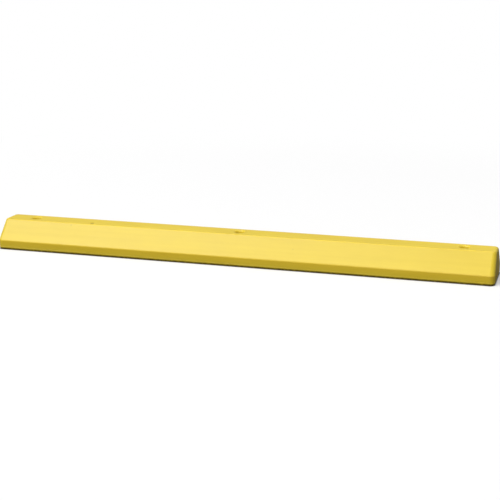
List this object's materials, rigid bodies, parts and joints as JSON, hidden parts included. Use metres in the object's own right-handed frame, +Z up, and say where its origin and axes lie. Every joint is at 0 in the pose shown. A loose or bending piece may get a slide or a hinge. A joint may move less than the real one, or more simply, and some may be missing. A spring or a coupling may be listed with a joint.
{
  "type": "parking block",
  "caption": "Hollow yellow moulded parking block with sloped sides and rounded ends, held to the ground by expansion anchors that stand in wells through its top.",
  "frame": {"origin": "on the ground under the middle of the block", "axes": "+X along the length towards the end that is nearer in the picture, -Y the long side that the picture shows, +Z up"},
  "size_m": [1.8288, 0.2032, 0.104],
  "materials": {
    "shell": "satin moulded polyethylene, yellow",
    "plug": "satin moulded polyethylene, darker yellow",
    "stud": "zinc plated, threaded",
    "sleeve": "zinc plated, rolled",
    "washer": "zinc plated, punched",
    "lock": "zinc plated spring steel",
    "nut": "zinc plated, cold formed"
  },
  "bodies": {
    "block": {"block_shell": "shell", "vent_plug": "plug"},
    "left_anchor": {"left_expansion_sleeve": "sleeve", "left_flat_washer": "washer", "left_lock_washer": "lock"},
    "left_stud": {"left_anchor_stud": "stud"},
    "left_nut": {"left_hex_nut": "nut"},
    "middle_anchor": {"middle_expansion_sleeve": "sleeve", "middle_flat_washer": "washer", "middle_lock_washer": "lock"},
    "middle_stud": {"middle_anchor_stud": "stud"},
    "middle_nut": {"middle_hex_nut": "nut"},
    "right_anchor": {"right_expansion_sleeve": "sleeve", "right_flat_washer": "washer", "right_lock_washer": "lock"},
    "right_stud": {"right_anchor_stud": "stud"},
    "right_nut": {"right_hex_nut": "nut"}
  },
  "joints": [
    {"name": "left_anchor_drive", "type": "slide", "parent": "block", "child": "left_anchor", "axis": [0, 0, 1], "range_m": [-0.0649, 0.107]},
    {"name": "left_nut_turn", "type": "hinge", "parent": "left_anchor", "child": "left_nut", "pos_m": [-0.8, 0, 0.0822], "axis": [0, 0, 1], "range_deg": [0, 900]},
    {"name": "left_stud_draw", "type": "slide", "parent": "left_anchor", "child": "left_stud", "axis": [0, 0, 1], "range_m": [-0.00397, 0]},
    {"name": "middle_anchor_drive", "type": "slide", "parent": "block", "child": "middle_anchor", "axis": [0, 0, 1], "range_m": [-0.0649, 0.107]},
    {"name": "middle_nut_turn", "type": "hinge", "parent": "middle_anchor", "child": "middle_nut", "pos_m": [0, 0, 0.0822], "axis": [0, 0, 1], "range_deg": [0, 900]},
    {"name": "middle_stud_draw", "type": "slide", "parent": "middle_anchor", "child": "middle_stud", "axis": [0, 0, 1], "range_m": [-0.00397, 0]},
    {"name": "right_anchor_drive", "type": "slide", "parent": "block", "child": "right_anchor", "axis": [0, 0, 1], "range_m": [-0.0649, 0.107]},
    {"name": "right_nut_turn", "type": "hinge", "parent": "right_anchor", "child": "right_nut", "pos_m": [0.8, 0, 0.0822], "axis": [0, 0, 1], "range_deg": [0, 900]},
    {"name": "right_stud_draw", "type": "slide", "parent": "right_anchor", "child": "right_stud", "axis": [0, 0, 1], "range_m": [-0.00397, 0]}
  ],
  "couplings": [
    {"joint": "left_nut_turn", "follows": "left_stud_draw", "rad_per_m": -3957.9},
    {"joint": "middle_nut_turn", "follows": "middle_stud_draw", "rad_per_m": -3957.9},
    {"joint": "right_nut_turn", "follows": "right_stud_draw", "rad_per_m": -3957.9}
  ]
}
